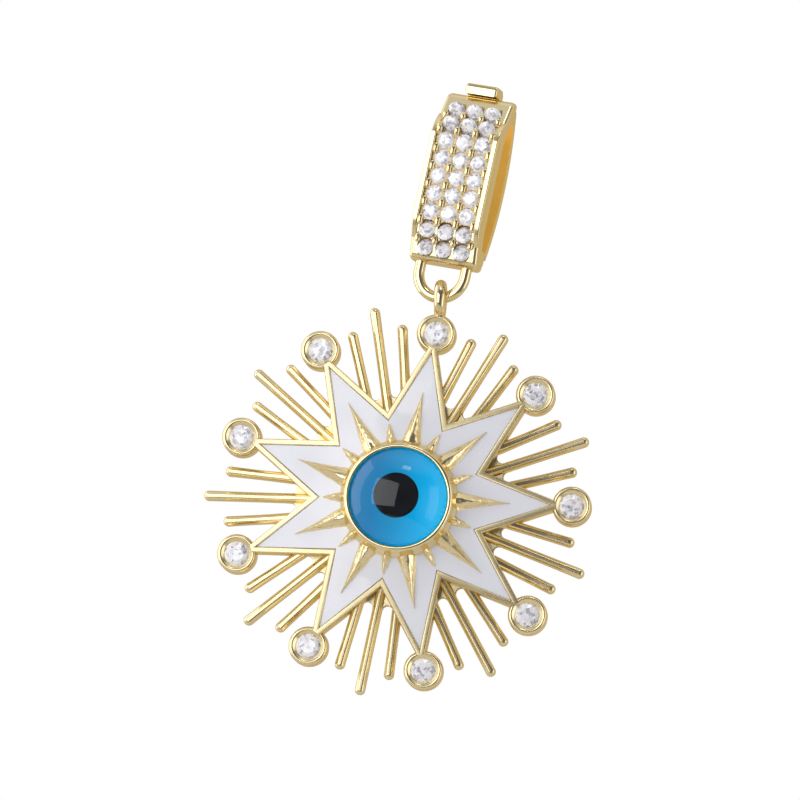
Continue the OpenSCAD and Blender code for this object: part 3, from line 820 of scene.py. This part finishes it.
def moved(p, q, d):  # a line moved sideways by d
    length = math.hypot(q[0] - p[0], q[1] - p[1])
    n = (-(q[1] - p[1]) / length * d, (q[0] - p[0]) / length * d)
    return ((p[0] + n[0], p[1] + n[1]), (q[0] + n[0], q[1] + n[1]))


frontEdge = [(bail["topFront"], bail["top"]), (bail["front"], bail["highBend"]),
             (bail["front"], bail["lowBend"]), (bail["baseFront"], bail["base"])]
hollowSides = [((0, 0), (1, 0)), moved(*frontEdge[:2], bail["slopeWall"]),
               moved(*frontEdge[1:3], bail["wall"]), moved(*frontEdge[2:], bail["slopeWall"]),
               ((0, bail["hollowBase"]), (1, bail["hollowBase"]))]
hollowEdge = [meet(a, b) for a, b in zip(hollowSides, hollowSides[1:])]


def frontAt(s):  # place and direction along the bail's front, s from its top edge
    for a, b in zip(frontEdge, frontEdge[1:]):
        length = math.hypot(b[0] - a[0], b[1] - a[1])
        if s <= length or b == frontEdge[-1]:
            u = ((b[0] - a[0]) / length, (b[1] - a[1]) / length)
            return (a[0] + u[0] * s, a[1] + u[1] * s), math.atan2(u[0], -u[1])
        s -= length


def onFront(x, s):  # local z points out of the plate and local y runs up the front
    (y, z), tilt = frontAt(s)
    return Matrix.Translation((x, y, z)) @ Matrix.Rotation(quarterTurn - tilt, 4, "X")


pave = {"columns": 3, "rows": 9, "width": 1.38, "columnPitch": 1.48, "rowPitch": 1.4, "firstRow": 1.67,
        "sink": 0.03, "seatDepth": 1.2, "seatHalf": 2.2, "seatFront": -2.2, "seatBack": -0.9,
        "seatFoot": 0.6, "stoneTurn": 13, "edgeBead": 0.67, "bead": (0.5, 0.98, 0.56),
        "beadBlunt": (1.12, 1, 1.06), "bluntFrom": 0.2}


def columnX(c):
    return (c - (pave["columns"] - 1) / 2) * pave["columnPitch"]


def rowS(r):
    return pave["firstRow"] + r * pave["rowPitch"]


def curve(a, b, c, steps):  # a smooth run of points from a to c, drawn towards b
    a, b, c = Vector(a), Vector(b), Vector(c)
    return [tuple(a.lerp(b, t).lerp(b.lerp(c, t), t)) for t in (i / steps for i in range(steps + 1))]


def roundBend(a, b, c, radius, steps=5):  # points that round the corner b of an outline
    inward, outward = Vector(a) - Vector(b), Vector(c) - Vector(b)
    p, q = Vector(b) + inward.normalized() * radius, Vector(b) + outward.normalized() * radius
    return curve(p, b, q, steps)


def buildShell():
    earBack, half = hinge["y"] + bail["footBack"], bail["width"] / 2
    corners = [(bail["lip"], bail["top"])] + frontEdge + [(earBack, bail["base"])]
    outline = [corners[0]]
    for i, radius in enumerate(bail["bends"], 1):
        outline += roundBend(corners[i - 1], corners[i], corners[i + 1], radius)
    outline.append(corners[-1])
    face = [Vector(p) for p in outline]
    outline += [(earBack, bail["hollowBase"] - bail["footStep"]),
                (hollowEdge[3][0] + bail["footRamp"], bail["hollowBase"])]
    outline += list(reversed(hollowEdge)) + [(bail["lip"], 0)]
    shell = drawOutline("bail_front", outline, -half, half)
    softenEdges(shell, bail["edgeRound"], 6, lambda e: onCap(e, half) and all(
        min((v.co.xy - p).length for p in face) < near for v in e.verts))
    setPiece(closePiece(shell, smooth=0), sideTurn)
    seats = []
    for c in range(pave["columns"]):
        for r in range(pave["rows"]):
            clearSelection()
            bpy.ops.mesh.primitive_cylinder_add(vertices=32, radius=pave["width"] / 2,
                                                depth=pave["seatDepth"])
            seats.append(setPiece(nameNew("seat"), onFront(columnX(c), rowS(r))))
    for seat in seats:
        seat.select_set(True)
    bpy.context.view_layer.objects.active = seats[0]
    bpy.ops.object.join()
    cutWith(shell, seats[0])
    smoothPiece(shell, smooth=30)
    return setPiece(shell, toMetres)


def roundBar(name, radius, length, sides, inward, along):  # inward and along are the size of the soft ends
    profile = [(radius - inward, 0), (radius, along), (radius, length - along), (radius - inward, length)]
    return closePiece(turnPiece(name, profile, sides), smooth=40)


def onHinge(x, way=1):  # a bar from x along the hinge, to the right or, with way -1, to the left
    return (toMetres @ Matrix.Translation((x, hinge["y"], hinge["z"]))
            @ Matrix.Rotation(way * quarterTurn, 4, "Y"))


def buildEars():
    width = (bail["width"] - hinge["knuckle"]) / 2 - hinge["gap"] - hinge["inset"]
    for side, name in ((-1, "left_ear"), (1, "right_ear")):
        ear = roundBar(name, hinge["ear"], width, sides=64, inward=0.06, along=0.06)
        place = onHinge(side * (bail["width"] / 2 - hinge["inset"]), -side)
        dressBail(setPiece(ear, place))


def buildPin():
    length = bail["width"] - 2 * hinge["pinInset"]
    pin = roundBar("gate_pin", hinge["pin"], length, sides=48, inward=0.08, along=0.06)
    dress(setPiece(pin, onHinge(-length / 2)), gold, "bail", "gold_plate", "hinge_pin")


rail = {"width": 0.45, "rise": 0.3, "tail": 1.4, "upperTail": 1.6, "sink": 0.45, "endSink": 0.2,
        "bendStart": 0.25, "highPull": (0.25, 0.7), "lowPull": (0.2, 0.53), "round": 0.12, "roundDepth": 1.2}


def buildRails():
    # Both ends curve back onto the slopes.
    top, low, front, sink = bail["highBend"], bail["lowBend"], bail["front"], rail["sink"]
    crest, half = front - rail["rise"], rail["width"] / 2
    slope = math.atan2(bail["baseFront"] - front, low - bail["base"])
    highSlope = math.atan2(bail["topFront"] - front, bail["top"] - top)
    highTail, lowTail = rail["upperTail"], rail["tail"]
    highEnd = (front + highTail * math.sin(highSlope), top + highTail * math.cos(highSlope))
    lowEnd = (front + lowTail * math.sin(slope), low - lowTail * math.cos(slope))
    highPull = (crest + rail["highPull"][0], top + rail["highPull"][1])
    lowPull = (crest + rail["lowPull"][0], low - rail["lowPull"][1])
    outline = [(front + sink, top), (highEnd[0] + rail["endSink"], highEnd[1])]
    outline += curve(highEnd, highPull, (crest, top - rail["bendStart"]), steps=9)
    outline += curve((crest, low + rail["bendStart"]), lowPull, lowEnd, steps=9)
    outline += [(lowEnd[0] + sink, lowEnd[1]), (front + sink, low)]
    for side, name in ((-1, "left_rail"), (1, "right_rail")):
        strip = drawOutline(name, outline, -half, half)
        softenEdges(strip, rail["round"], 4, lambda e: onCap(e, half)
                    and min(-v.co.x for v in e.verts) > -front - rail["roundDepth"])
        closePiece(strip, smooth=40)
        shift = Matrix.Translation((side * (bail["width"] / 2 - half) * mm, 0, 0))
        dressBail(setPiece(strip, shift @ sidePlace))


def buildBead():
    clearSelection()
    bpy.ops.mesh.primitive_uv_sphere_add(segments=14, ring_count=10, radius=0.5)
    bead = nameNew("bead")
    openPiece(bead)
    bpy.ops.mesh.select_all(action="SELECT")
    bpy.ops.transform.resize(value=pave["bead"], center_override=(0, 0, 0))
    pick(bead, "verts", lambda v: abs(v.co.y) > pave["bluntFrom"])
    bpy.ops.transform.resize(value=pave["beadBlunt"], center_override=(0, 0, 0))
    return closePiece(bead, smooth=60)


def buildPave():
    bead = buildBead()
    stone = buildStone("small_gem", pave["width"])
    inner = [(columnX(c) + columnX(c + 1)) / 2 for c in range(pave["columns"] - 1)]
    edge = columnX(pave["columns"] - 1) + pave["edgeBead"]
    count = 0
    for x in [-edge] + inner + [edge]:
        for r in range(pave["rows"] - 1):
            count += 1
            place = toMetres @ onFront(x, rowS(r) + pave["rowPitch"] / 2)
            dressBail(copyPiece(bead, f"bead_{count}", place))
    for i in range(pave["columns"] * pave["rows"]):
        place = (toMetres @ onFront(columnX(i % pave["columns"]), rowS(i // pave["columns"]))
                 @ Matrix.Translation((0, 0, -pave["sink"]))
                 @ Matrix.Rotation(math.radians(pave["stoneTurn"] * i), 4, "Z"))
        gem = copyPiece(stone, f"bail_gem_{i + 1}", place)
        dress(gem, smallCrystal, "bail", "crystal", f"bail_stone_{i + 1}")
    dropShapes(bead, stone)


def buildHalfRing():
    clearSelection()
    bpy.ops.mesh.primitive_torus_add(major_segments=96, minor_segments=24, major_radius=halfRing["radius"],
                                     minor_radius=halfRing["wire"] / 2, rotation=(quarterTurn, 0, 0))
    ring = nameNew("half_ring")
    openPiece(ring)
    pick(ring, "verts", lambda v: v.co.z > near)
    bpy.ops.mesh.delete(type="VERT")
    pick(ring, "edges", lambda e: len(e.link_faces) == 1)
    bpy.ops.mesh.extrude_region_move(TRANSFORM_OT_translate={"value": (0, 0, halfRing["leg"])})
    pick(ring, "edges", lambda e: len(e.link_faces) == 1)
    bpy.ops.mesh.edge_face_add()
    closePiece(ring, smooth=60)
    return setPiece(ring, toMetres @ Matrix.Translation((0, halfRing["front"], halfRing["middle"])))


def inHollow(c, n):  # the hollow's wall, roof and ground
    return (bail["hollowBase"] - 0.1 < c.z < 0.1 and n.y > 0.2 or abs(c.z) < 0.02 and n.z < -0.5
            or abs(c.z - bail["hollowBase"]) < 0.02 and n.z > 0.5)


# these faces get the darker gold of painted shade
def inPaintedSeatShade(c, n):  # the flat plate under the beads, and the walls and floors of the stones' seats
    onPlate = n.y < -0.98 and bail["lowBend"] < c.z < bail["highBend"]
    between = abs(c.x) < pave["seatHalf"] and pave["seatFront"] < c.y < pave["seatBack"]
    return onPlate or between and c.z > bail["base"] + pave["seatFoot"] and abs(n.x) < 0.99 and n.y > -0.3


shell = dressBail(buildShell())
# the hollow's faces get the gold with painted bounce light and glow
lineFaces(shell, hollowGoldPaintedGlow, inHollow)
# painted shade on the plate and in the stones' seats
lineFaces(shell, seatGoldPaintedShade, inPaintedSeatShade)
buildEars()
buildPin()
buildRails()
buildPave()
dressBail(buildHalfRing())
print("bail built")


# Gate

gate = {"front": 0.17, "bandTop": 1.38, "bandSteps": 28, "foot": 0.15, "cornerRound": 0.4, "edgeRound": 0.12}
tongue = {"top": 0.75, "under": 0.02, "baseUnder": 0.03, "thick": 0.3, "round": 0.04}
tab = {"front": -1.05, "top": 2.65, "low": 1.8, "root": 0.5, "width": 2.6, "seam": 0.02, "edgeRound": 0.2,
       "noseRound": ((0, 0.34), (0.08, 0.13), (0.26, 0.02), (0.45, 0)), "backRound": 0.2}

backMiddle = (bail["top"] + bail["base"]) / 2
backRadius = ((bail["top"] - backMiddle) ** 2 + backArc["bulge"] ** 2) / (2 * backArc["bulge"])


def backAt(z, depth=0.0):  # y of the bail's back, or of the arc that lies deeper by the depth
    return backArc["back"] - backRadius + math.sqrt((backRadius - depth) ** 2 - (z - backMiddle) ** 2)


def bandFront(z):  # the band's inner side, which passes round the ears at its foot
    ear = hinge["ear"] + hinge["gap"]
    clear = hinge["y"] + math.sqrt(max(0.0, ear ** 2 - (z - hinge["z"]) ** 2))
    return max(gate["front"], backAt(z, backArc["wall"]), clear)


def buildBand():
    low, high, half = hinge["z"] + gate["foot"], gate["bandTop"], bail["width"] / 2
    zs = [low + (high - low) * i / gate["bandSteps"] for i in range(gate["bandSteps"] + 1)]
    outline = [(backAt(z), z) for z in zs] + [(bandFront(z), z) for z in reversed(zs)]
    band = drawOutline("gate_band", outline, -half, half)
    softenEdges(band, gate["cornerRound"], 5, lambda e: onCap(e, half)
                and min(v.co.y for v in e.verts) > high - slack)
    softenEdges(band, gate["edgeRound"], 3, lambda e: onCap(e, half))
    dressGate(setPiece(closePiece(band), sidePlace))
    # the band's inner side in the hollow gets the gold with painted bounce light and glow
    lineFaces(band, hollowGoldPaintedGlow, lambda c, n: bail["hollowBase"] < c.z < 0 and n.y < -0.5)


def buildKnuckle():
    # The knuckle, and the tongue that joins it to the band.
    width = hinge["knuckle"]
    knuckle = roundBar("gate_knuckle", hinge["ear"], width, sides=64, inward=0.05, along=0.05)
    dressGate(setPiece(knuckle, onHinge(-width / 2)))
    base, middle, top = hinge["z"], hinge["z"] + gate["foot"], hinge["z"] + tongue["top"]
    outline = [(hinge["y"], base), (backAt(base) - tongue["baseUnder"], base),
               (backAt(middle) - tongue["under"], middle), (backAt(top) - tongue["under"], top),
               (backAt(top) - tongue["thick"], top)]
    piece = drawOutline("gate_tongue", outline, -width / 2, width / 2)
    softenEdges(piece, tongue["round"], 2, lambda e: onCap(e, width / 2))
    dressGate(setPiece(closePiece(piece), sidePlace))


def buildTab():
    back, seam, top = gate["front"] + backArc["wall"], gate["front"] + tab["seam"], tab["top"]
    outline = [(seam, tab["root"]), (seam, tab["low"]), (tab["front"], tab["low"])]
    outline += [(tab["front"] + inset, top - drop) for inset, drop in tab["noseRound"]]
    outline += [(back - tab["backRound"], top), (back, top - tab["backRound"]), (back, tab["root"])]
    half = tab["width"] / 2
    piece = drawOutline("thumb_tab", outline, -half, half)
    softenEdges(piece, tab["edgeRound"], 4, lambda e: onCap(e, half)
                and min(v.co.y for v in e.verts) > tab["low"] - slack)
    dressGate(setPiece(closePiece(piece), sidePlace))


buildBand()
buildKnuckle()
buildTab()
print("gate built")


# Floor and light

studio = {"floor": -0.3, "floorSize": 0.4, "fill": 0.9, "behind": (0.72, 0.64, 0.52, 1)}
# How bright the room looks along X and Z, and how far the tone behind takes over along Y
tones = {
    "X": [(0.0, 1.0), (0.28, 0.6), (0.4, 0.15), (0.6, 0.1), (0.86, 0.1), (0.95, 0.5), (1.0, 0.95)],
    "Z": [(0.0, 0.85), (0.08, 0.5), (0.16, 0.05), (0.6, 0.0), (0.87, 0.06), (0.94, 0.7), (1.0, 1.0)],
    "Y": [(0.0, 0.0), (0.45, 0.1), (0.6, 1.0), (1.0, 1.0)]}


def buildFloor():
    clearSelection()
    bpy.ops.mesh.primitive_circle_add(vertices=96, radius=studio["floorSize"], fill_type="NGON",
                                      location=(0, 0, studio["floor"]))
    floor = bpy.context.object
    floor.name = floor.data.name = "floor"
    material, tree, shader = newMaterial("pale_floor")
    grain = noise(tree, 30, detail=2)
    tone = ramp(tree, grain, [(0.3, (0.86, 0.86, 0.86)), (0.7, (0.88, 0.88, 0.88))])
    paint(tree, shader, tone)
    shader.inputs["Roughness"].default_value = 0.7
    floor.data.materials.append(material)


def buildWorld():
    # White to the camera. To the metal: bright at both sides, above and below, and dark between.
    world = bpy.data.worlds.new("studio")
    bpy.context.scene.world = world
    world.use_nodes = True
    tree = world.node_tree
    tree.nodes.clear()
    output = tree.nodes.new("ShaderNodeOutputWorld")
    fill, backdrop = tree.nodes.new("ShaderNodeBackground"), tree.nodes.new("ShaderNodeBackground")
    backdrop.inputs["Color"].default_value = (1, 1, 1, 1)
    coords = tree.nodes.new("ShaderNodeTexCoord")
    split = tree.nodes.new("ShaderNodeSeparateXYZ")
    tree.links.new(coords.outputs["Generated"], split.inputs["Vector"])
    level = {}
    for axis, stops in tones.items():
        reach = spread(tree, split.outputs[axis], 0, 1, -1)
        level[axis] = ramp(tree, reach, [(place, (v, v, v)) for place, v in stops])
    front, allRound = tree.nodes.new("ShaderNodeMix"), tree.nodes.new("ShaderNodeMix")
    front.data_type = allRound.data_type = "RGBA"
    front.blend_type = "SCREEN"
    front.inputs["Factor"].default_value = 1.0
    tree.links.new(level["X"], front.inputs["A"])
    tree.links.new(level["Z"], front.inputs["B"])
    tree.links.new(level["Y"], allRound.inputs["Factor"])
    tree.links.new(front.outputs["Result"], allRound.inputs["A"])
    allRound.inputs["B"].default_value = studio["behind"]
    tree.links.new(allRound.outputs["Result"], fill.inputs["Color"])
    fill.inputs["Strength"].default_value = studio["fill"]
    rays = tree.nodes.new("ShaderNodeLightPath")
    mix = tree.nodes.new("ShaderNodeMixShader")
    tree.links.new(rays.outputs["Is Camera Ray"], mix.inputs["Fac"])
    tree.links.new(fill.outputs["Background"], mix.inputs[1])
    tree.links.new(backdrop.outputs["Background"], mix.inputs[2])
    tree.links.new(mix.outputs["Shader"], output.inputs["Surface"])


def addPanel(name, azimuth, elevation, distance, width, height, strength):
    # A soft box aimed at the pendant, sized in metres. Strength is how bright its face looks.
    away = lookFrom(azimuth, elevation)
    data = bpy.data.lights.new(name, "AREA")
    data.shape = "RECTANGLE"
    data.size, data.size_y = width, height
    data.energy = strength * width * height * math.pi
    panel = bpy.data.objects.new(name, data)
    panel.location = Vector(view["aim"]) * mm + away * distance
    panel.rotation_mode = "QUATERNION"
    panel.rotation_quaternion = away.to_track_quat("Z", "Y")
    panel.visible_camera = False
    bpy.context.scene.collection.objects.link(panel)


buildFloor()
buildWorld()
addPanel("front_left_box", azimuth=-14, elevation=2, distance=0.16, width=0.142, height=0.142, strength=1.8)
addPanel("left_box", azimuth=-88, elevation=5, distance=0.5, width=0.45, height=0.7, strength=0.95)
addPanel("right_strip", azimuth=86, elevation=5, distance=0.5, width=0.2, height=0.5, strength=0.85)
addPanel("high_box", azimuth=17, elevation=62, distance=0.5, width=0.12, height=0.08, strength=3.0)

look = bpy.context.scene.view_settings
look.view_transform = "Standard"
look.look = "None"
print("studio set")
